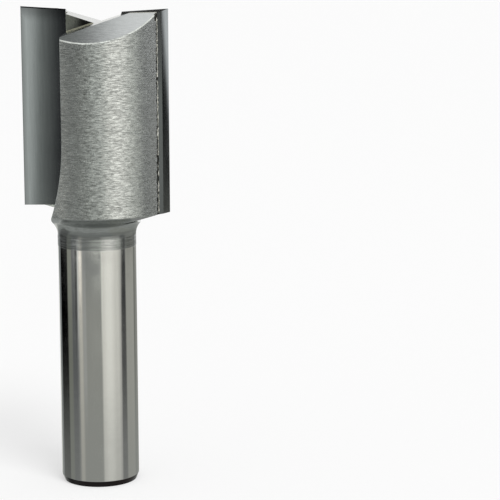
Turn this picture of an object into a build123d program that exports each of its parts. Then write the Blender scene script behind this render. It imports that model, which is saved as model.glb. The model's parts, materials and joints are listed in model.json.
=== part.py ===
from build123d import *
import os
from math import cos, hypot, radians, sin, sqrt, tan

# Straight router bit with two brazed carbide tips, for right-hand rotation.
# The axis is Z, the shank's flat end lies on Z = 0 and the cutting end points up.
# Both rake faces are parallel to the XZ plane. The tip with positive X faces +Y,
# and the other one is its half-turn copy about the axis.

# Cutting sizes
cutting_diameter = 25.4
cutting_length = 32.4
hook_angle = 18.0             # rake face against the radius through its cutting edge
tip_width = 7.3               # along the rake face
tip_thickness = 2.4
primary_relief = 12.0         # outer facet behind the cutting edge
secondary_relief = 24.0       # outer facet nearer to the body
primary_width = 1.7           # measured square to the rake face
dish_angle = 3.5              # the end edge falls towards the axis
end_relief = 8.0              # the tip's end falls away behind its edge
braze_gap = 0.12              # thickness of the silver solder
seat_overrun = 1.6            # the tips' pockets are milled on, below the body's corner

# Shank and neck
shank_diameter = 12.7
shank_length = 39.2           # the ground length that a collet may hold
shank_chamfer_height = 1.0
shank_chamfer_depth = 0.4
turned_allowance = 0.03       # the neck is left as turned, a little over the ground shank
neck_length = 5.9             # from the ground shank to the body's lower corner
neck_fillet = 2.8
shoulder_slope = 20.0         # underside of the body, rising outwards

# Fluted body
land_clearance = 0.5          # the land lies this far inside the cutting circle
web_thickness = 8.9           # between the two gullet floors
gullet_cutter_diameter = 76.2
gullet_straight_length = 20.5  # floor parallel to the axis, below the tips' ends

# End face of the body
end_ramp_slope = 18.0         # each half rises towards its own tip
ramp_height_on_axis = 2.5     # below the tips' outer corners
ramp_overlap = 0.4            # each ramp runs this far past the axis
heel_slope = 36.0             # flat behind the tip, falling away from it
heel_turn = 1.5
heel_drop = 0.5               # below the outer corner, at the tip's inner end
edge_break = 0.12             # stoned edges of the land

# Places worked out from the sizes above
cutting_radius = cutting_diameter / 2
land_radius = cutting_radius - land_clearance
shank_radius = shank_diameter / 2
neck_radius = shank_radius + turned_allowance
body_bottom = shank_length + neck_length
tip_top = body_bottom + cutting_length
rake_y = -cutting_radius * sin(radians(hook_angle))
edge_x = cutting_radius * cos(radians(hook_angle))
tip_inner_x = edge_x - tip_width
tip_back_y = rake_y - tip_thickness
seat_y = tip_back_y - braze_gap
seat_x = tip_inner_x - braze_gap
gullet_x = web_thickness / 2
ramp_z = tip_top - ramp_height_on_axis
beyond = 2 * cutting_radius   # cutting forms reach this far past the body


def half_turn(shape):
    """The same shape on the far side of the axis."""
    return Rot(0, 0, 180) * shape


def turned_blank():
    """Shank, neck and body blank as one turned outline."""
    slope = radians(shoulder_slope)
    shoulder_foot = body_bottom - (land_radius - neck_radius) * tan(slope)
    reach = neck_fillet * tan(radians(90 - shoulder_slope) / 2)
    fillet_start = (neck_radius, shoulder_foot - reach)
    fillet_end = (neck_radius + reach * cos(slope), shoulder_foot + reach * sin(slope))
    with BuildPart() as blank:
        with BuildSketch(Plane.XZ):
            with BuildLine():
                Polyline(
                    (0, 0),
                    (shank_radius - shank_chamfer_depth, 0),
                    (shank_radius, shank_chamfer_height),
                    (shank_radius, shank_length),
                    (neck_radius, shank_length),
                    fillet_start,
                )
                TangentArc(fillet_start, fillet_end, tangent=(0, 1))
                Polyline(
                    fillet_end,
                    (land_radius - edge_break, body_bottom - edge_break * tan(slope)),
                    (land_radius, body_bottom + edge_break),
                    (land_radius, tip_top),
                    (0, tip_top),
                    (0, 0),
                )
            make_face()
        revolve(axis=Axis.Z)
    return blank.part


def gullet_cutter():
    """Chip gullet ahead of the tip at negative X, with the run-out of a disc cutter."""
    radius = gullet_cutter_diameter / 2
    turn_z = tip_top - gullet_straight_length
    with BuildPart() as cutter:
        with BuildSketch(Plane.XZ.offset(rake_y)):
            with BuildLine():
                Line((-gullet_x, tip_top + beyond), (-gullet_x, turn_z))
                CenterArc((-gullet_x - radius, turn_z), radius, 0, -90)
                Polyline(
                    (-gullet_x - radius, turn_z - radius),
                    (-gullet_x - radius - beyond, turn_z - radius),
                    (-gullet_x - radius - beyond, tip_top + beyond),
                    (-gullet_x, tip_top + beyond),
                )
            make_face()
        extrude(amount=2 * beyond)
    return cutter.part


def end_cutters():
    """Material that the end grinding takes off the half with negative Y."""
    rise = tan(radians(end_ramp_slope)) * beyond
    with BuildPart() as ramp:
        with BuildSketch(Plane.XZ.offset(-ramp_overlap)):
            Polygon(
                (-beyond, ramp_z - rise),
                (beyond, ramp_z + rise),
                (beyond, ramp_z + rise + beyond),
                (-beyond, ramp_z + rise + beyond),
                align=None,
            )
        extrude(amount=2 * beyond)
    heel_plane = Pos(tip_inner_x, tip_back_y, tip_top - heel_drop) * Rot(0, 0, -heel_turn)
    heel_plane = heel_plane * Rot(heel_slope, 0, 0)
    block = Box(4 * beyond, 4 * beyond, beyond, align=(Align.CENTER, Align.CENTER, Align.MIN))
    front_half = Pos(0, -beyond, tip_top) * Box(
        4 * beyond, 2 * (beyond + ramp_overlap), 4 * beyond
    )
    return ramp.part, (heel_plane * block) & front_half


def tip_outline():
    """Tip in plan: rake face, two outer relief facets, back and inner end."""
    primary = tan(radians(hook_angle + primary_relief))
    secondary = tan(radians(hook_angle + secondary_relief))
    ridge_x = edge_x - primary_width * primary
    back_x = ridge_x - (tip_thickness - primary_width) * secondary
    return [
        (edge_x, rake_y),
        (ridge_x, rake_y - primary_width),
        (back_x, tip_back_y),
        (tip_inner_x, tip_back_y),
        (tip_inner_x, rake_y),
    ]


def carbide_tip():
    """Tip at positive X, ground on its end to the dish and relief angles."""
    with BuildPart() as tip:
        with BuildSketch(Plane.XY.offset(body_bottom)):
            Polygon(*tip_outline(), align=None)
        extrude(amount=cutting_length)
    end_plane = Pos(edge_x, rake_y, tip_top) * Rot(end_relief, 0, 0) * Rot(0, -dish_angle, 0)
    block = Box(4 * beyond, 4 * beyond, beyond, align=(Align.CENTER, Align.CENTER, Align.MIN))
    return tip.part - end_plane * block


def seat_cutter():
    """Open pocket that takes the tip and its solder."""
    return Pos(seat_x, seat_y, body_bottom - seat_overrun) * Box(
        beyond, rake_y - seat_y, seat_overrun + cutting_length + beyond, align=Align.MIN
    )


def braze_joint():
    """Solder behind the tip at positive X and round its inner end."""
    back_x = sqrt(land_radius**2 - seat_y**2)
    height = cutting_length
    layer = Pos(seat_x, seat_y, body_bottom) * Box(
        back_x - seat_x, braze_gap, height, align=Align.MIN
    )
    inner_end = Pos(seat_x, tip_back_y, body_bottom) * Box(
        braze_gap, tip_thickness, height, align=Align.MIN
    )
    joint = layer + inner_end
    for cutter in end_cutters():
        joint -= cutter
    return joint


def on_land(edge):
    """True for an edge that lies on the land's cylinder, along a gullet or the end."""
    points = [edge @ (step / 4) for step in range(5)]
    on_cylinder = all(abs(hypot(p.X, p.Y) - land_radius) < 0.001 for p in points)
    return on_cylinder and max(p.Z for p in points) > body_bottom + 2 * edge_break


def steel_body():
    """Shank, neck and fluted body in one piece of steel."""
    body = turned_blank()
    for cutter in (gullet_cutter(), *end_cutters()):
        body -= cutter
        body -= half_turn(cutter)
    body = chamfer(body.edges().filter_by(on_land), edge_break)
    body -= seat_cutter()
    body -= half_turn(seat_cutter())
    return body


def main():
    os.makedirs("parts", exist_ok=True)
    nodes = {
        "steel_body": steel_body(),
        "carbide_tip_1": carbide_tip(),
        "carbide_tip_2": half_turn(carbide_tip()),
        "braze_joint_1": braze_joint(),
        "braze_joint_2": half_turn(braze_joint()),
    }
    for name, shape in nodes.items():
        export_step(shape, f"parts/{name}.step")
        print(name, round(shape.volume, 2), "mm3")


main()
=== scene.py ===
import json
import math
import bpy
import numpy as np
from mathutils import Matrix


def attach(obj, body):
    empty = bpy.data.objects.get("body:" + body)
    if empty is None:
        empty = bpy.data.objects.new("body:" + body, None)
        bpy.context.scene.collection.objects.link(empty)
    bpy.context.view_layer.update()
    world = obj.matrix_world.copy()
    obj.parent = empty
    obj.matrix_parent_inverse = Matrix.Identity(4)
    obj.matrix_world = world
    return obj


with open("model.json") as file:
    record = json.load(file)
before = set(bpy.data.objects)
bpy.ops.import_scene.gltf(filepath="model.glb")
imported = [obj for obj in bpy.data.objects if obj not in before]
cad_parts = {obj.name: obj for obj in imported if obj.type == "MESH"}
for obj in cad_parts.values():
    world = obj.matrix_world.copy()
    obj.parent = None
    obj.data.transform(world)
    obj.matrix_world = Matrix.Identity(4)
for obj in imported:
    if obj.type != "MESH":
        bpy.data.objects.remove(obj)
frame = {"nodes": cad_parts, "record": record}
bpy.context.view_layer.update()
nodes = frame["nodes"]
scene = bpy.context.scene
mm = 0.001

print("frame loaded:", len(nodes), "CAD nodes")


# Small helpers for node trees

def addNode(tree, kind, inputs=None, **settings):
    node = tree.nodes.new(kind)
    for name, value in settings.items():
        setattr(node, name, value)
    for name, value in (inputs or {}).items():
        setInput(tree, node.inputs[name], value)
    return node


def setInput(tree, socket, value):
    if isinstance(value, bpy.types.NodeSocket):
        tree.links.new(value, socket)
    else:
        socket.default_value = value


def calc(tree, operation, a, b=0.0, c=0.0):
    return addNode(tree, "ShaderNodeMath", {0: a, 1: b, 2: c}, operation=operation).outputs[0]


def smoothStep(tree, value, start, end, low=0.0, high=1.0):
    # eases from low to high while value goes from start to end
    step = addNode(tree, "ShaderNodeMapRange", interpolation_type="SMOOTHSTEP")
    for socket, number in zip(step.inputs[:5], (value, start, end, low, high)):
        setInput(tree, socket, number)
    return step.outputs[0]


def mixColor(tree, share, first, second, blend="MIX"):
    mix = addNode(tree, "ShaderNodeMix", data_type="RGBA", blend_type=blend)
    setInput(tree, mix.inputs[0], share)
    setInput(tree, mix.inputs[6], first)
    setInput(tree, mix.inputs[7], second)
    return mix.outputs[2]


def mixValue(tree, share, first, second):
    mix = addNode(tree, "ShaderNodeMix", data_type="FLOAT")
    for socket, value in zip(mix.inputs[:1] + mix.inputs[2:4], (share, first, second)):
        setInput(tree, socket, value)
    return mix.outputs[0]


def newGroup(name, inputs, outputs):
    group = bpy.data.node_groups.new(name, "ShaderNodeTree")
    for label, kind, default in inputs:
        socket = group.interface.new_socket(label, in_out="INPUT", socket_type=kind)
        if default is not None:
            socket.default_value = default
    for label, kind in outputs:
        group.interface.new_socket(label, in_out="OUTPUT", socket_type=kind)
    return group, addNode(group, "NodeGroupInput").outputs, addNode(group, "NodeGroupOutput")


def useGroup(tree, group, inputs):
    return addNode(tree, "ShaderNodeGroup", inputs, node_tree=group).outputs


# Camera, where the photograph was taken from

camera = {
    "place": (25.306, -324.080, 96.221),       # millimetres
    "right": (0.99999596, 0.00089272, -0.00269867),
    "up": (0.00249895, 0.17634595, 0.98432508),
    "forward": (-0.00135462, 0.98432785, -0.17634301),
    "focalPixels": 2023.315,
    "imagePixels": 500,
    "sensor": 36.0,
    "clipStart": 0.01,           # metres
    "clipEnd": 20.0,
}


def makeCamera():
    data = bpy.data.cameras.new("photoCamera")
    data.sensor_width = camera["sensor"]
    data.lens = camera["focalPixels"] / camera["imagePixels"] * camera["sensor"]
    data.clip_start = camera["clipStart"]
    data.clip_end = camera["clipEnd"]
    lens = bpy.data.objects.new("photoCamera", data)
    scene.collection.objects.link(lens)
    axes = [camera["right"], camera["up"], [-v for v in camera["forward"]]]
    turned = Matrix(axes).transposed().to_4x4()
    turned.translation = [v * mm for v in camera["place"]]
    lens.matrix_world = turned
    scene.camera = lens


makeCamera()
print("camera placed")


# Studio: pale floor, soft lamps, and panels round the bit that show in the metal

studio = {
    "floorSize": 60.0,           # metres
    "floorColor": (0.93, 0.93, 0.93, 1),
    "floorRoughness": 0.9,
    "floorSpecular": 0.1,
    "whitening": 0.5,            # share of plain white in the floor that the camera sees
    "roomLight": 0.66,           # what pale things see of the room
    "roomColor": (0.215, 0.22, 0.215, 1),
    "ceilingLeft": (0.21, 0.22, 0.215, 1),
    "ceilingRight": (1.02, 1.03, 1.025, 1),
    "ceilingStart": (20.0, 60.0),              # degrees of elevation
    "ceilingSplit": (-0.15, 0.045),            # where left turns into right, by direction
    "lowerColor": (0.36, 0.37, 0.36, 1),
    "lowerStart": (-16.8, -12.8),
    "lowerFade": 0.5,            # contrast that the panels lose towards the floor
    "keyStrength": 1.45,
    "keyAngle": 28,              # degrees, a wide soft source
    "keyTilt": (38, 0, 32),
}

# What the metal sees of the room, as panels that are laid over each other in this order. Each has
# the azimuth of its middle (0 towards the camera, positive to its right), its half width, its
# lowest and highest elevation and the softness of its upright and of its level edges, all in
# degrees, the degrees that it leans sideways for each degree of elevation, and its light.
panels = [
    (-110, 60, -70, 30, 14, 14, 0, (0.225, 0.23, 0.23)),       # room on the left
    (130, 70, -70, 30, 14, 14, 0, (0.24, 0.24, 0.23)),         # room on the right
    (180, 52, -8, 15, 5, 3, 0, (1.0, 1.0, 1.0)),               # pale backdrop
    (-168, 11, -4, 16, 5, 4, 0, (0.88, 0.88, 0.86)),
    (-163, 8, -4, 16, 5, 4, 0, (0.25, 0.26, 0.24)),
    (180, 60, 17, 46, 6, 3, 0, (0.02, 0.02, 0.02)),            # dark room above the backdrop
    (180, 46, -30, -9, 6, 3, 0, (0.26, 0.28, 0.28)),
    (-160, 7, -30, -10, 5, 2, 0, (1.1, 1.1, 1.05)),            # strips behind the bit
    (-179, 5, -30, -10, 4, 2, 0, (0.08, 0.08, 0.08)),
    (172, 4, -30, -10, 4, 2, 0, (0.7, 0.7, 0.68)),
    (25, 85, 30, 62, 20, 8, 0, (1.5, 1.5, 1.45)),              # lamps over the camera
    (-120, 18, -8, 20, 14, 4, 0, (0.50, 0.51, 0.50)),
    (-20, 50, -12, -7.0, 30, 2, 0, (0.54, 0.55, 0.545)),
    (-62, 12, -12, -5.2, 20, 2, 0, (0.95, 0.96, 0.94)),
    (39, 41, -19, 4, 46, 3, 0, (0.43, 0.45, 0.41)),            # large softbox at the right
    (29, 46, -12, -7.3, 36, 2, 0, (2.1, 2.13, 1.96)),
    (37, 12.5, -19, 4, 28, 3, 0, (1.88, 1.81, 1.72)),
    (41, 18, -12, -7.3, 22, 2, 0, (2.5, 2.42, 2.31)),
    (83, 8, -6.5, 4, 8, 2, 0, (0.24, 0.25, 0.235)),
    (98, 6, -12, -5.6, 6, 1.5, 0, (0.38, 0.39, 0.38)),
    (-17, 24, -1.5, 9, 12, 3, 0, (0.03, 0.03, 0.035)),         # dark gap beside the camera
    (6.5, 7.5, -1.5, 9, 20, 3, -0.5, (0.46, 0.48, 0.47)),      # light seen in the rake face
    (11, 6, -1.5, 9, 8, 3, -0.5, (0.97, 0.99, 0.98)),
    (38, 13, -1.5, 4, 20, 3, 0, (1.65, 1.60, 1.52)),
    (122, 24, -14, 16, 6, 3, 0, (0.02, 0.02, 0.02)),
    (90, 12, -4.6, 14, 8, 2.5, 0, (0.13, 0.13, 0.13)),
    (105, 20, -11, 16, 14, 4, -7, (1.10, 1.10, 1.13)),         # light seen in the tip's relief
    (0, 180, -60, -27, 10, 6, 0, (0.31, 0.325, 0.31)),         # table
    (-12.8, 28.2, -27, -9.3, 8, 0.8, 0, (0.385, 0.39, 0.365)),  # what the shank sees
    (-12.8, 28.2, -11.0, -9.3, 8, 0.8, 0, (0.27, 0.28, 0.28)),
    (0, 180, -90, -45, 10, 14, 0, (0.38, 0.39, 0.38)),         # table around the bit's foot
    (95, 40, -70, -27, 14, 6, 0, (0.38, 0.38, 0.34)),
    (-114.5, 20, -42, -9, 5, 2, 0, (0.0, 0.0, 0.0)),           # black flag: the shank's dark stripe
    (-87, 9, -27, -9.3, 6, 0.8, 0, (0.22, 0.23, 0.20)),
    (-87, 9, -11.5, -9.3, 6, 0.8, 0, (0.36, 0.37, 0.32)),
    (-70, 9, -27, -9.3, 7, 0.8, 0, (0.14, 0.145, 0.15)),
    (-62.5, 4, -12, -9.3, 4, 0.8, 0, (0.01, 0.01, 0.01)),
    (-48, 6.8, -27, -10.1, 9, 0.2, 0, (0.62, 0.605, 0.55)),    # narrow strip light
    (-36.5, 5, -14.5, -10.6, 5, 1, 0, (0.47, 0.475, 0.46)),
    (-48.6, 4.6, -11.0, -10.1, 6, 0.2, 0, (1.9, 1.75, 1.57)),
    (46.5, 31.1, -27, -9.3, 7, 0.8, 0, (0.84, 0.83, 0.78)),    # wide strip light
    (36.5, 13, -27, -10.1, 20, 0.2, 0, (1.05, 1.04, 0.98)),
    (46.5, 31.1, -10.0, -9.0, 7, 0.3, 0, (0.55, 0.545, 0.51)),
    (74, 5, -27, -9.3, 8, 0.8, 0, (0.62, 0.61, 0.58)),
    (86.2, 8.6, -27, -9.3, 9, 0.8, 0, (0.02, 0.02, 0.025)),
    (86.2, 9, -27, -11.4, 8, 1.6, 0, (0.105, 0.105, 0.105)),
    (86.2, 9, -27, -15.0, 8, 2.0, 0, (0.20, 0.20, 0.20)),
    (116, 21, -27, -9.3, 7, 0.8, 0, (0.46, 0.46, 0.425)),
    (154, 15, -27, -9.3, 26, 0.8, 0, (0.32, 0.325, 0.30)),
]


def makePanelGroup():
    # 1 inside the panel and 0 outside, with soft edges; the azimuth wraps round at 180 degrees
    angle = "NodeSocketFloat"
    group, given, out = newGroup("studioPanel", [
        ("Azimuth", angle, 0.0), ("Elevation", angle, 0.0), ("Middle", angle, 0.0),
        ("Half Width", angle, 10.0), ("Low", angle, -90.0), ("High", angle, 90.0),
        ("Side Softness", angle, 3.0), ("Level Softness", angle, 3.0), ("Lean", angle, 0.0)],
        [("Mask", angle)])
    middle = calc(group, "MULTIPLY_ADD", given["Elevation"], given["Lean"], given["Middle"])
    away = calc(group, "SUBTRACT", given["Azimuth"], middle)
    away = calc(group, "WRAP", away, 180.0, -180.0)
    away = calc(group, "ABSOLUTE", away)
    across = calc(group, "SUBTRACT", given["Half Width"], away)
    above = calc(group, "SUBTRACT", given["Elevation"], given["Low"])
    below = calc(group, "SUBTRACT", given["High"], given["Elevation"])
    mask = 1.0
    for inside, softness in ((across, "Side"), (above, "Level"), (below, "Level")):
        half = calc(group, "MULTIPLY", given[softness + " Softness"], 0.5)
        back = calc(group, "MULTIPLY", half, -1.0)
        mask = calc(group, "MULTIPLY", smoothStep(group, inside, back, half), mask)
    group.links.new(mask, out.inputs["Mask"])
    return group


def makeWorld():
    world = bpy.data.worlds.new("studio")
    scene.world = world
    world.use_nodes = True
    world.cycles.sampling_method = "NONE"      # so that metal sees the panels and nothing else
    tree = world.node_tree
    tree.nodes.clear()
    direction = addNode(tree, "ShaderNodeTexCoord").outputs["Generated"]
    parts = addNode(tree, "ShaderNodeSeparateXYZ", {0: direction}).outputs
    towards = calc(tree, "MULTIPLY", parts["Y"], -1.0)
    azimuth = calc(tree, "DEGREES", calc(tree, "ARCTAN2", parts["X"], towards))
    elevation = calc(tree, "DEGREES", calc(tree, "ARCSINE", parts["Z"]))
    overhead = smoothStep(tree, elevation, *studio["ceilingStart"])
    sideways = smoothStep(tree, parts["X"], *studio["ceilingSplit"])
    ceiling = mixColor(tree, sideways, studio["ceilingLeft"], studio["ceilingRight"])
    room = mixColor(tree, overhead, studio["roomColor"], ceiling)
    panel = makePanelGroup()
    names = ("Middle", "Half Width", "Low", "High", "Side Softness", "Level Softness", "Lean")
    for *shape, light in panels:
        values = {"Azimuth": azimuth, "Elevation": elevation, **dict(zip(names, shape))}
        mask = useGroup(tree, panel, values)["Mask"]
        room = mixColor(tree, mask, room, (*light, 1))
    paler = smoothStep(tree, elevation, *studio["lowerStart"], studio["lowerFade"], 0.0)
    room = mixColor(tree, paler, room, studio["lowerColor"])
    rays = addNode(tree, "ShaderNodeLightPath").outputs
    seen = calc(tree, "MAXIMUM", rays["Is Camera Ray"], rays["Is Transmission Ray"])
    seen = calc(tree, "MAXIMUM", seen, rays["Is Glossy Ray"])
    even = (studio["roomLight"],) * 3 + (1,)
    light = mixColor(tree, seen, even, (1, 1, 1, 1))
    light = mixColor(tree, rays["Is Glossy Ray"], light, room)
    background = addNode(tree, "ShaderNodeBackground", {"Color": light})
    out = addNode(tree, "ShaderNodeOutputWorld")
    tree.links.new(background.outputs[0], out.inputs["Surface"])


def makeFloor():
    half = studio["floorSize"] / 2
    corners = [(-half, -half, 0), (half, -half, 0), (half, half, 0), (-half, half, 0)]
    mesh = bpy.data.meshes.new("floor")
    mesh.from_pydata(corners, [], [(0, 1, 2, 3)])
    floor = bpy.data.objects.new("floor", mesh)
    scene.collection.objects.link(floor)
    paint = bpy.data.materials.new("floorPaint")
    paint.use_nodes = True
    tree = paint.node_tree
    shader = tree.nodes["Principled BSDF"]
    shader.inputs["Base Color"].default_value = studio["floorColor"]
    shader.inputs["Roughness"].default_value = studio["floorRoughness"]
    shader.inputs["Specular IOR Level"].default_value = studio["floorSpecular"]
    mesh.materials.append(paint)
    white = addNode(tree, "ShaderNodeEmission", {"Color": (1, 1, 1, 1), "Strength": 1.0})
    rays = addNode(tree, "ShaderNodeLightPath").outputs
    share = calc(tree, "MULTIPLY", rays["Is Camera Ray"], studio["whitening"])
    both = addNode(tree, "ShaderNodeMixShader", {
        0: share, 1: shader.outputs[0], 2: white.outputs[0]})
    surface = tree.nodes["Material Output"]
    tree.links.new(both.outputs[0], surface.inputs["Surface"])
    floor.visible_glossy = False


def makeKeyLamp():
    data = bpy.data.lights.new("keyLamp", "SUN")
    data.energy = studio["keyStrength"]
    data.angle = math.radians(studio["keyAngle"])
    lamp = bpy.data.objects.new("keyLamp", data)
    lamp.rotation_euler = [math.radians(v) for v in studio["keyTilt"]]
    lamp.visible_glossy = False
    scene.collection.objects.link(lamp)


makeWorld()
makeFloor()
makeKeyLamp()
scene.view_settings.view_transform = "Standard"
print("studio ready")


# Marks left by cutting and grinding, shared by the metals

marking = {
    "fineSize": 0.42,            # of the fine marks against the coarse ones
    "fineOffset": 37.0,          # keeps the two sizes out of step
    "fineShare": 0.4,
    "smudgeLimits": (0.32, 0.68),
}


def makeStreakGroup():
    # Long thin marks: noise that is stretched by Length and squeezed by Width, in two sizes,
    # Coarse and Fine. Streak is both sizes mixed, and varies about 0.5.
    number = "NodeSocketFloat"
    group, given, out = newGroup("grindingStreaks", [
        ("Vector", "NodeSocketVector", None), ("Length", number, 4.0), ("Width", number, 0.2)],
        [("Streak", number), ("Fine", number), ("Coarse", number)])
    parts = addNode(group, "ShaderNodeSeparateXYZ", {0: given["Vector"]}).outputs
    noises = []
    for share, seed in ((1.0, 0.0), (marking["fineSize"], marking["fineOffset"])):
        length = calc(group, "MULTIPLY", given["Length"], share * mm)
        width = calc(group, "MULTIPLY", given["Width"], share * mm)
        place = addNode(group, "ShaderNodeCombineXYZ", {
            0: calc(group, "ADD", calc(group, "DIVIDE", parts["X"], length), seed),
            1: calc(group, "DIVIDE", parts["Y"], length),
            2: calc(group, "DIVIDE", parts["Z"], width)}).outputs[0]
        noises.append(addNode(group, "ShaderNodeTexNoise", {
            "Vector": place, "Scale": 1.0, "Detail": 2.0, "Roughness": 0.6}).outputs["Fac"])
    streak = mixValue(group, marking["fineShare"], noises[0], noises[1])
    group.links.new(streak, out.inputs["Streak"])
    group.links.new(noises[1], out.inputs["Fine"])
    group.links.new(noises[0], out.inputs["Coarse"])
    return group


def makeSmudgeGroup():
    # Slow uneven patches, as of oil and handling: broad noise with soft limits
    group, given, out = newGroup("handlingSmudges", [
        ("Vector", "NodeSocketVector", None), ("Size", "NodeSocketFloat", 6.0)],
        [("Smudge", "NodeSocketFloat")])
    scale = calc(group, "DIVIDE", 1.0 / mm, given["Size"])
    noise = addNode(group, "ShaderNodeTexNoise", {
        "Vector": given["Vector"], "Scale": scale, "Detail": 3.0, "Roughness": 0.55}).outputs["Fac"]
    smudge = smoothStep(group, noise, *marking["smudgeLimits"])
    group.links.new(smudge, out.inputs["Smudge"])
    return group


streaks = makeStreakGroup()
smudges = makeSmudgeGroup()


def newMaterial(name):
    material = bpy.data.materials.new(name)
    material.use_nodes = True
    shader = material.node_tree.nodes["Principled BSDF"]
    place = addNode(material.node_tree, "ShaderNodeTexCoord").outputs["Object"]
    return material, material.node_tree, shader, place


# Steel: ground shank, turned neck, ground land and milled gullets on one turned blank

steel = {
    "shankTop": 39.2,            # millimetres above the shank's flat end
    "bodyBottom": 45.1,
    "landRadius": 12.2,
    "shankColor": (0.60, 0.605, 0.585, 1),
    "bodyColor": (0.495, 0.515, 0.502, 1),
    "millColor": (0.565, 0.58, 0.58, 1),
    # painted shade: the milled walls that face along the tips are coloured dark
    "wallShadeColor": (0.25, 0.26, 0.23, 1),
    # painted shade: near black on the step towards the axis
    "cornerShadeColor": (0.03, 0.03, 0.028, 1),
    "chamferTop": 1.0,
    # painted shade: the chamfer at the shank's foot is coloured near black
    "chamferShadeColor": (0.035, 0.03, 0.03, 1),
    "shankRoughness": 0.07,
    "neckColor": (0.36, 0.374, 0.367, 1),
    "neckRoughness": 0.16,
    "filletStart": 6.42,         # millimetres from the axis
    "filletRoughness": 0.16,
    "landRoughness": 0.26,
    "millRoughness": 0.30,
    "endRoughness": 0.19,
    "rampRoughness": 0.12,
    "rampSlope": 18.0,
    "rampHeight": 75.0,          # of the ramps' foot, in the middle of the bit
    # painted highlight: cream colour for the line at the foot of the step
    "footHighlightColor": (0.80, 0.78, 0.60, 1),
    "footLow": (-0.3, -0.2),     # the painted highlight's lower and upper edge, above the ramp
    "footHigh": (0.12, 0.2),
    "stepReach": (0.9, 1.1),     # from the axis; a wall further off isn't the step's
    "cornerShadeReach": (1.6, 3.6),   # how far the painted shade on the step runs out from the axis
    # painted highlight: the edge break round the land is coloured near white
    "edgeHighlightColor": (0.97, 0.97, 0.93, 1),
    "edgeRadius": (12.03, 12.06),
    "edgeRoughness": 0.30,
    "lineSize": (5.0, 0.28),     # length and width in millimetres
    "markSize": (1.0, 0.12),
    "chatterSize": (0.8, 0.15),
    "smudgeSize": 7.0,
    "markTone": (0.45, 1.50),    # darkest and lightest
    "lineTone": (0.93, 1.06),
    "turningTone": (0.90, 1.06),
    "markStart": (3.5, 7.5),     # from the joint, where the marks gain strength
    "markEnd": (10.6, 11.6),     # and where they lose it again
    "leastMarked": 0.38,
    "lastMarked": 0.55,
    "millEvenness": 0.8,         # share of the marks that milled and turned faces go without
    "neckEvenness": 0.65,
    "calmDepth": 0.05,           # share of the lines' depth that is left where it is even
    "grain": (-0.10, 0.10),      # what the marks add to the roughness
    "calmGrain": 0.3,
    "wear": (-0.015, 0.03),
    "lineDepth": 0.02,           # millimetres
    "grooveDepth": 0.010,        # of the turning marks on the neck
    "waveDepth": 0.004,
    "chatter": 0.40,
    "endCrown": 0.014,           # how much the end faces curve, per millimetre
    "seamAngle": 31.52,          # degrees, where the tip's joint meets the land
    "stainColor": (0.05, 0.05, 0.045, 1),
    "stainWidth": (0.14, 0.38),
    "stainEdge": 0.08,
    "stainTop": (75.2, 76.6),    # heights over which the stain widens upwards
    "stainTopWidth": 0.35,
    "stainLow": (52.0, 60.0),    # and over which it narrows from below
    "stainLowWidth": 0.10,
    "stainBreaks": 1.4,          # how often the stain narrows, per millimetre
    "anisotropy": 0.45,
    "anisotropyTurn": 0.25,      # a quarter turn
}


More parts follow.
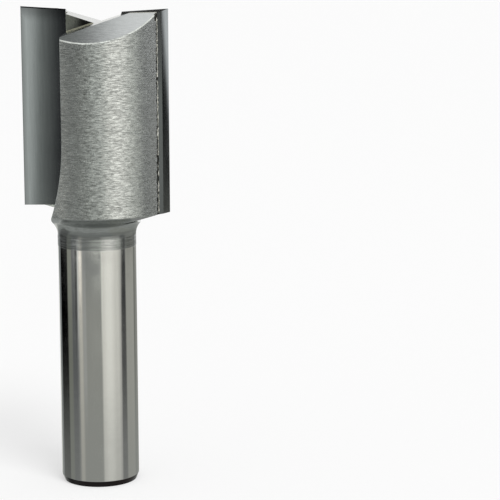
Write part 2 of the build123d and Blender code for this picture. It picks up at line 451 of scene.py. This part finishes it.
def makeSteel():
    material, tree, shader, place = newMaterial("bitSteel")
    parts = addNode(tree, "ShaderNodeSeparateXYZ", {0: place}).outputs
    height = calc(tree, "DIVIDE", parts["Z"], mm)
    level = addNode(tree, "ShaderNodeCombineXYZ", {0: parts["X"], 1: parts["Y"], 2: 0.0}).outputs[0]
    radius = addNode(tree, "ShaderNodeVectorMath", {0: level}, operation="LENGTH").outputs["Value"]
    radius = calc(tree, "DIVIDE", radius, mm)
    ground = smoothStep(tree, height, steel["shankTop"] - 0.05, steel["shankTop"] + 0.05, 1.0, 0.0)
    fluted = smoothStep(tree, height, steel["bodyBottom"] - 0.3, steel["bodyBottom"] + 0.1)
    land = smoothStep(tree, radius, steel["landRadius"] - 0.2, steel["landRadius"] - 0.08)
    land = calc(tree, "MULTIPLY", land, fluted)
    normal = addNode(tree, "ShaderNodeNewGeometry").outputs["Normal"]
    facing = addNode(tree, "ShaderNodeSeparateXYZ", {0: normal}).outputs
    endFace = calc(tree, "MULTIPLY", smoothStep(tree, facing["Z"], 0.5, 0.6), fluted)
    ramp = calc(tree, "MULTIPLY", smoothStep(tree, facing["Z"], 0.88, 0.92), fluted)
    wall = smoothStep(tree, calc(tree, "ABSOLUTE", facing["Y"]), 0.92, 0.96)
    wall = calc(tree, "MULTIPLY", wall, fluted)
    notLand = calc(tree, "SUBTRACT", fluted, land)
    edge = calc(tree, "MULTIPLY", smoothStep(tree, radius, *steel["edgeRadius"]), notLand)
    neck = calc(tree, "SUBTRACT", 1.0, calc(tree, "MAXIMUM", ground, fluted))
    fillet = smoothStep(tree, radius, steel["filletStart"], steel["filletStart"] + 0.35)
    turnedPart = calc(tree, "MULTIPLY", neck, calc(tree, "SUBTRACT", 1.0, fillet))
    top = steel["chamferTop"]
    chamferShade = smoothStep(tree, height, top - 0.06, top - 0.02, 1.0, 0.0)

    lines, marks, chatter = (
        useGroup(tree, streaks, {"Vector": place, "Length": length, "Width": width})
        for length, width in (steel["lineSize"], steel["markSize"], steel["chatterSize"]))
    smudge = useGroup(tree, smudges, {"Vector": place, "Size": steel["smudgeSize"]})["Smudge"]

    # distance from the joint, along which the land's marks are strongest in the middle
    turn = math.radians(steel["seamAngle"])
    beside = calc(tree, "MULTIPLY", parts["X"], -math.sin(turn) / mm)
    beside = calc(tree, "MULTIPLY_ADD", parts["Y"], -math.cos(turn) / mm, beside)
    half = calc(tree, "SIGN", calc(tree, "MULTIPLY", parts["Y"], -1.0))
    beside = calc(tree, "MULTIPLY", beside, half)
    marked = smoothStep(tree, beside, *steel["markStart"], steel["leastMarked"], 1.0)
    fading = smoothStep(tree, beside, *steel["markEnd"], 1.0, steel["lastMarked"])
    marked = calc(tree, "MULTIPLY", marked, fading)

    color = mixColor(tree, fluted, steel["bodyColor"], steel["millColor"])
    # painted shade: dark colour on the milled walls facing along the tips
    color = mixColor(tree, wall, color, steel["wallShadeColor"])
    color = mixColor(tree, land, color, steel["bodyColor"])
    color = mixColor(tree, turnedPart, color, steel["neckColor"])
    color = mixColor(tree, ground, color, steel["shankColor"])
    # painted shade: near black on the chamfer at the shank's foot
    color = mixColor(tree, chamferShade, color, steel["chamferShadeColor"])
    tone = smoothStep(tree, marks["Streak"], 0.37, 0.63, *steel["markTone"])
    tone = mixValue(tree, marked, 1.0, tone)
    line = smoothStep(tree, lines["Streak"], 0.35, 0.65, *steel["lineTone"])
    tone = calc(tree, "MULTIPLY", tone, line)
    even = calc(tree, "MULTIPLY", notLand, steel["millEvenness"])
    even = calc(tree, "MAXIMUM", ground, even)
    even = calc(tree, "MAXIMUM", even, calc(tree, "MULTIPLY", neck, steel["neckEvenness"]))
    tone = mixValue(tree, even, tone, 1.0)
    turning = smoothStep(tree, lines["Coarse"], 0.40, 0.60, *steel["turningTone"])
    tone = mixValue(tree, turnedPart, tone, turning)
    shade = addNode(tree, "ShaderNodeCombineColor", {0: tone, 1: tone, 2: tone}).outputs[0]
    color = mixColor(tree, 1.0, color, shade, "MULTIPLY")
    # painted highlight: near white along the land's edge break
    color = mixColor(tree, edge, color, steel["edgeHighlightColor"])

    # a painted highlight: a light line is coloured in at the foot of the step between the two ramps;
    # and painted shade: the step is coloured dark towards the axis
    slope = math.tan(math.radians(steel["rampSlope"]))
    aside = calc(tree, "ABSOLUTE", calc(tree, "DIVIDE", parts["X"], mm))
    rampHeight = calc(tree, "MULTIPLY_ADD", aside, -slope, steel["rampHeight"])
    aboveRamp = calc(tree, "SUBTRACT", height, rampHeight)
    foot = smoothStep(tree, aboveRamp, *steel["footHigh"], 1.0, 0.0)
    foot = calc(tree, "MULTIPLY", foot, smoothStep(tree, aboveRamp, *steel["footLow"]))
    inner, outer = (reach * mm for reach in steel["stepReach"])
    middle = smoothStep(tree, calc(tree, "ABSOLUTE", parts["Y"]), inner, outer, 1.0, 0.0)
    foot = calc(tree, "MULTIPLY", calc(tree, "MULTIPLY", foot, middle), wall)
    # painted shade: the step is coloured near black towards the axis
    cornerShade = smoothStep(tree, aside, *steel["cornerShadeReach"], 1.0, 0.0)
    cornerShade = calc(tree, "MULTIPLY", calc(tree, "MULTIPLY", cornerShade, wall), middle)
    color = mixColor(tree, cornerShade, color, steel["cornerShadeColor"])
    # painted highlight: the light line at the foot of the step
    color = mixColor(tree, foot, color, steel["footHighlightColor"])

    # flux leaves a broken dark line on the land along each joint
    alongSeam = addNode(tree, "ShaderNodeCombineXYZ", {2: height}).outputs[0]
    broken = addNode(tree, "ShaderNodeTexNoise", {
        "Vector": alongSeam, "Scale": steel["stainBreaks"],
        "Detail": 3.0, "Roughness": 0.7}).outputs["Fac"]
    wide = smoothStep(tree, broken, 0.42, 0.58, *steel["stainWidth"])
    above = smoothStep(tree, height, *steel["stainTop"], 0.0, steel["stainTopWidth"])
    below = smoothStep(tree, height, *steel["stainLow"], steel["stainLowWidth"], 0.0)
    wide = calc(tree, "ADD", calc(tree, "ADD", wide, above), below)
    wider = calc(tree, "ADD", wide, steel["stainEdge"])
    stain = smoothStep(tree, beside, wide, wider, 1.0, 0.0)
    stain = calc(tree, "MULTIPLY", stain, land)
    color = mixColor(tree, stain, color, steel["stainColor"])
    setInput(tree, shader.inputs["Base Color"], color)

    roughness = mixValue(tree, fillet, steel["neckRoughness"], steel["filletRoughness"])
    roughness = mixValue(tree, fluted, roughness, steel["millRoughness"])
    roughness = mixValue(tree, land, roughness, steel["landRoughness"])
    roughness = mixValue(tree, endFace, roughness, steel["endRoughness"])
    roughness = mixValue(tree, ramp, roughness, steel["rampRoughness"])
    roughness = mixValue(tree, calc(tree, "MAXIMUM", edge, foot), roughness, steel["edgeRoughness"])
    grain = smoothStep(tree, marks["Fine"], 0.3, 0.7, *steel["grain"])
    grain = calc(tree, "MULTIPLY", grain, marked)
    calm = calc(tree, "MULTIPLY", grain, steel["calmGrain"])
    grain = mixValue(tree, calc(tree, "MAXIMUM", endFace, neck), grain, calm)
    roughness = calc(tree, "ADD", roughness, grain)
    worn = smoothStep(tree, smudge, 0.0, 1.0, *steel["wear"])
    polish = calc(tree, "ADD", steel["shankRoughness"], worn)
    roughness = mixValue(tree, ground, roughness, polish)
    setInput(tree, shader.inputs["Roughness"], roughness)

    deep = steel["lineDepth"] * mm
    depth = mixValue(tree, even, deep, deep * steel["calmDepth"])
    raised = calc(tree, "MULTIPLY", marks["Coarse"], depth)
    grooves = calc(tree, "MULTIPLY", lines["Coarse"], steel["grooveDepth"] * mm)
    raised = mixValue(tree, neck, raised, grooves)
    wavy = calc(tree, "MULTIPLY", smudge, steel["waveDepth"] * mm)
    raised = calc(tree, "ADD", raised, calc(tree, "MULTIPLY", wavy, ground))
    across = calc(tree, "MULTIPLY", parts["X"], steel["endCrown"] / mm)
    across = calc(tree, "MULTIPLY", across, endFace)
    lean = addNode(tree, "ShaderNodeCombineXYZ", {0: across}).outputs[0]

    # the wheel's chatter turns the land's normal a little to either side, mark by mark
    turned = calc(tree, "MULTIPLY", calc(tree, "SUBTRACT", chatter["Coarse"], 0.5), land)
    turned = calc(tree, "MULTIPLY", turned, steel["chatter"] / steel["landRadius"] / mm)
    tangent = addNode(tree, "ShaderNodeCombineXYZ", {
        0: calc(tree, "MULTIPLY", calc(tree, "MULTIPLY", parts["Y"], -1.0), turned),
        1: calc(tree, "MULTIPLY", parts["X"], turned)}).outputs[0]
    lean = addNode(tree, "ShaderNodeVectorMath", {0: lean, 1: tangent}, operation="ADD").outputs[0]
    crowned = addNode(tree, "ShaderNodeVectorMath", {0: normal, 1: lean}, operation="ADD").outputs[0]
    crowned = addNode(tree, "ShaderNodeVectorMath", {0: crowned}, operation="NORMALIZE").outputs[0]
    bump = addNode(tree, "ShaderNodeBump", {
        "Height": raised, "Strength": 1.0, "Distance": 1.0, "Normal": crowned})
    setInput(tree, shader.inputs["Normal"], bump.outputs["Normal"])

    shader.inputs["Metallic"].default_value = 1.0
    shader.inputs["Anisotropic"].default_value = steel["anisotropy"]
    shader.inputs["Anisotropic Rotation"].default_value = steel["anisotropyTurn"]
    return material


# Carbide: diamond-ground faces, dark and smooth, with faint marks along the bit

carbide = {
    "color": (0.33, 0.352, 0.347, 1),
    # painted shade: near black for the strip right under the rake face's end edge
    "tipEdgeShadeColor": (0.03, 0.03, 0.032, 1),
    "roughness": 0.105,
    "lineDepth": 0.0005,
    "tipTop": 77.5,              # millimetres
    "edgeRadius": 12.08,         # the cutting edge's distance from the middle, across the bit
    "dish": 3.5,                 # degrees
    "rakeDistance": 3.925,       # of the rake face and of the relief's ridge from the axis
    "ridgeDistance": 5.625,
    "shadeStripWidth": 0.26,
    "endShade": (0.3, 2.6),      # depth over which painted shade makes the rake face darker below its end edge
    "endDarkness": 0.45,
    "edgeShades": ((0.12, 0.28, 0.45), (0.1, 0.95, 0.30)),     # painted shade along the long edge: from, to, share
    "markSize": (9.0, 0.3),      # length and width in millimetres
    "smudgeSize": 9.0,
    "hollowMiddle": 7.3,
    "hollow": 0.028,             # how much the rake face is hollowed, per millimetre
    "rakeTilt": 0.08,
    "reliefCrown": 0.09,
    "reliefRun": (-0.5, -0.866),  # along the relief, from the cutting edge to its ridge
    "tone": (0.95, 1.05),        # darkest and lightest
    "grain": (-0.01, 0.01),      # what the marks add to the roughness
    "wear": (-0.01, 0.02),
}


def makeCarbide():
    material, tree, shader, place = newMaterial("tipCarbide")
    parts = addNode(tree, "ShaderNodeSeparateXYZ", {0: place}).outputs
    normal = addNode(tree, "ShaderNodeNewGeometry").outputs["Normal"]
    facing = addNode(tree, "ShaderNodeSeparateXYZ", {0: normal}).outputs
    rake = smoothStep(tree, calc(tree, "ABSOLUTE", facing["Y"]), 0.93, 0.98)
    side = calc(tree, "SIGN", parts["X"])
    outward = calc(tree, "DIVIDE", calc(tree, "ABSOLUTE", parts["X"]), mm)

    # depth below the end edge, which falls by the dish angle towards the axis
    slope = math.tan(math.radians(carbide["dish"]))
    inward = calc(tree, "SUBTRACT", carbide["edgeRadius"], outward)
    edgeHeight = calc(tree, "SUBTRACT", carbide["tipTop"], calc(tree, "MULTIPLY", inward, slope))
    depth = calc(tree, "SUBTRACT", edgeHeight, calc(tree, "DIVIDE", parts["Z"], mm))
    # painted shade: the rake face is coloured darker below its end edge and along its long edges, near
    # black in a strip right under the end edge
    tipEdgeShade = smoothStep(tree, depth, carbide["shadeStripWidth"] - 0.05, carbide["shadeStripWidth"], 1.0, 0.0)
    darker = smoothStep(tree, depth, *carbide["endShade"], carbide["endDarkness"], 0.0)
    tipEdgeShade = calc(tree, "MAXIMUM", tipEdgeShade, darker)
    for start, end, share in carbide["edgeShades"]:
        tipEdgeShade = calc(tree, "MAXIMUM", tipEdgeShade, smoothStep(tree, inward, start, end, share, 0.0))
    tipEdgeShade = calc(tree, "MULTIPLY", tipEdgeShade, rake)

    turned = addNode(tree, "ShaderNodeMapping", {"Vector": place, "Rotation": (0, math.pi / 2, 0)})
    length, width = carbide["markSize"]
    marks = useGroup(tree, streaks, {"Vector": turned.outputs[0], "Length": length, "Width": width})
    smudge = useGroup(tree, smudges, {"Vector": place, "Size": carbide["smudgeSize"]})["Smudge"]
    tone = smoothStep(tree, marks["Streak"], 0.35, 0.65, *carbide["tone"])
    shade = addNode(tree, "ShaderNodeCombineColor", {0: tone, 1: tone, 2: tone}).outputs[0]
    color = mixColor(tree, 1.0, carbide["color"], shade, "MULTIPLY")
    color = mixColor(tree, tipEdgeShade, color, carbide["tipEdgeShadeColor"])
    setInput(tree, shader.inputs["Base Color"], color)
    grain = smoothStep(tree, marks["Fine"], 0.3, 0.7, *carbide["grain"])
    worn = smoothStep(tree, smudge, 0.0, 1.0, *carbide["wear"])
    roughness = calc(tree, "ADD", calc(tree, "ADD", grain, worn), carbide["roughness"])
    setInput(tree, shader.inputs["Roughness"], roughness)

    # the wheel leaves the rake face slightly hollow, so its normal leans in from both ends
    reach = calc(tree, "SUBTRACT", outward, carbide["hollowMiddle"])
    lean = calc(tree, "MULTIPLY", calc(tree, "MULTIPLY", reach, side), -carbide["hollow"])
    lean = addNode(tree, "ShaderNodeCombineXYZ", {
        0: calc(tree, "MULTIPLY", lean, rake),
        2: calc(tree, "MULTIPLY", rake, carbide["rakeTilt"])}).outputs[0]
    hollow = addNode(tree, "ShaderNodeVectorMath", {0: normal, 1: lean}, operation="ADD").outputs[0]

    # and the relief behind the cutting edge slightly crowned
    tilt = calc(tree, "ABSOLUTE", facing["Y"])
    relief = smoothStep(tree, tilt, 0.56, 0.60, 1.0, 0.0)
    relief = calc(tree, "MULTIPLY", relief, smoothStep(tree, tilt, 0.40, 0.44))
    away = calc(tree, "DIVIDE", calc(tree, "ABSOLUTE", parts["Y"]), mm)
    middle = (carbide["rakeDistance"] + carbide["ridgeDistance"]) / 2
    half = (carbide["ridgeDistance"] - carbide["rakeDistance"]) / 2
    crown = calc(tree, "MULTIPLY", calc(tree, "SUBTRACT", away, middle), carbide["reliefCrown"] / half)
    crown = calc(tree, "MULTIPLY", calc(tree, "MULTIPLY", crown, side), relief)
    runX, runY = carbide["reliefRun"]
    crown = addNode(tree, "ShaderNodeCombineXYZ", {
        0: calc(tree, "MULTIPLY", crown, runX), 1: calc(tree, "MULTIPLY", crown, runY)}).outputs[0]
    hollow = addNode(tree, "ShaderNodeVectorMath", {0: hollow, 1: crown}, operation="ADD").outputs[0]
    hollow = addNode(tree, "ShaderNodeVectorMath", {0: hollow}, operation="NORMALIZE").outputs[0]
    raised = calc(tree, "MULTIPLY", marks["Streak"], carbide["lineDepth"] * mm)
    bump = addNode(tree, "ShaderNodeBump", {
        "Height": raised, "Strength": 1.0, "Distance": 1.0, "Normal": hollow})
    setInput(tree, shader.inputs["Normal"], bump.outputs["Normal"])
    shader.inputs["Metallic"].default_value = 1.0
    return material


# Silver solder: bright where it has flowed, with dark specks of flux

solder = {
    "color": (0.88, 0.87, 0.79, 1),
    "fluxColor": (0.05, 0.05, 0.045, 1),
    "fluxHeights": (52.0, 62.0),  # millimetres; more flux stays on lower down
    "fluxLevels": (0.42, 0.56),
    "fluxEdge": 0.07,
    "roughness": 0.22,
    "fluxRoughness": 0.6,
    "grainSize": 1.5,
    "grainDepth": 0.03,
}


def makeSolder():
    material, tree, shader, place = newMaterial("silverSolder")
    noise = addNode(tree, "ShaderNodeTexNoise", {
        "Vector": place, "Scale": 1.0 / (solder["grainSize"] * mm),
        "Detail": 4.0, "Roughness": 0.7}).outputs["Fac"]
    parts = addNode(tree, "ShaderNodeSeparateXYZ", {0: place}).outputs
    height = calc(tree, "DIVIDE", parts["Z"], mm)
    bare = smoothStep(tree, height, *solder["fluxHeights"], *solder["fluxLevels"])
    flux = smoothStep(tree, noise, bare, calc(tree, "ADD", bare, solder["fluxEdge"]))
    color = mixColor(tree, flux, solder["color"], solder["fluxColor"])
    roughness = mixValue(tree, flux, solder["roughness"], solder["fluxRoughness"])
    setInput(tree, shader.inputs["Base Color"], color)
    setInput(tree, shader.inputs["Roughness"], roughness)
    raised = calc(tree, "MULTIPLY", noise, solder["grainDepth"] * mm)
    bump = addNode(tree, "ShaderNodeBump", {"Height": raised, "Strength": 1.0, "Distance": 1.0})
    setInput(tree, shader.inputs["Normal"], bump.outputs["Normal"])
    shader.inputs["Metallic"].default_value = 1.0
    return material


# Bead of solder squeezed out along the joint behind each tip

bead = {
    "seamX": 10.41,              # where the joint meets the land, in millimetres
    "seamY": -6.385,
    "bottom": 45.2,
    "top": 76.6,
    "halfWidth": 0.13,
    "height": 0.06,
    "sunk": 0.03,
    "stations": 420,
    "around": 12,
    "waves": 14,
    "waveLength": 9.0,
    "swell": (0.7, 0.5),         # the bead's mean size, and how much the waves change it
    "swellLimits": (0.35, 1.5),
    "endLength": 0.6,            # over which it thins out at its ends
    "wander": 0.07,
    "seed": 7,
}


def beadWaves(along, generator):
    # A sum of sines of random phase: wave k has k + 2 turns per waveLength and a share of
    # 1 / sqrt(k + 1), and the sum is divided by sqrt(waves / 4), so that the bead swells and
    # thins like solder that has run
    order = np.arange(bead["waves"])[:, None]
    phase = generator.uniform(0, 2 * np.pi, (bead["waves"], 1))
    angle = 2 * np.pi * along[None, :] * (order + 2) / bead["waveLength"]
    waves = np.sin(angle + phase) / np.sqrt(order + 1)
    return waves.sum(axis=0) / np.sqrt(bead["waves"] / 4)


def makeBead(number, turn):
    # A flattened tube along the joint. At height z, the angle v runs round an ellipse that lies on
    # the land: half its width along the land's tangent times cos v, and its height along the
    # land's outward normal times sin v, sunk a little below the land where sin v is negative.
    generator = np.random.default_rng(bead["seed"] + number)
    along = np.linspace(bead["bottom"], bead["top"], bead["stations"])
    mean, change = bead["swell"]
    swell = np.clip(mean + change * beadWaves(along, generator), *bead["swellLimits"])
    ends = np.minimum(along - along[0], along[-1] - along) / bead["endLength"]
    swell *= np.sqrt(np.clip(ends, 0.0004, 1.0))
    wander = bead["wander"] * beadWaves(along, generator)
    v = np.linspace(0, 2 * np.pi, bead["around"], endpoint=False)
    seam = np.array([bead["seamX"], bead["seamY"]])
    outward = seam / np.linalg.norm(seam)
    sideways = np.array([-outward[1], outward[0]])
    reach = bead["halfWidth"] * swell[:, None] * np.cos(v) + wander[:, None]
    raised = bead["height"] * swell[:, None] * np.sin(v)
    lift = np.where(np.sin(v) > 0, raised, bead["sunk"] * np.sin(v))
    flat = seam + reach[..., None] * sideways + lift[..., None] * outward
    heights = np.broadcast_to(along[:, None, None], flat.shape[:2] + (1,))
    points = np.concatenate([flat, heights], axis=2)
    spin = np.array([[math.cos(turn), math.sin(turn)], [-math.sin(turn), math.cos(turn)]])
    points[..., :2] = points[..., :2] @ spin
    rows, columns = points.shape[:2]
    index = np.arange(rows * columns).reshape(rows, columns)
    following = np.roll(index, -1, axis=1)
    quads = np.stack([index[:-1], following[:-1], following[1:], index[1:]], axis=2)
    caps = [tuple(index[0, ::-1].tolist()), tuple(index[-1].tolist())]
    faces = [tuple(q) for q in quads.reshape(-1, 4).tolist()] + caps
    mesh = bpy.data.meshes.new(f"solderBead{number}")
    mesh.from_pydata((points.reshape(-1, 3) * mm).tolist(), [], faces)
    mesh.shade_smooth()
    piece = bpy.data.objects.new(f"solderBead{number}", mesh)
    scene.collection.objects.link(piece)
    mesh.materials.append(finishes["solder"])
    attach(piece, "root")


finishes = {"steel": makeSteel(), "carbide": makeCarbide(), "solder": makeSolder()}
for subpart in frame["record"]["subparts"]:
    part = nodes[subpart["node"]]
    part.material_slots[0].material = finishes[subpart["material_slot"]]
print("finishes on")

makeBead(1, 0.0)
makeBead(2, math.pi)
print("solder beads laid")


bpy.context.view_layer.update()
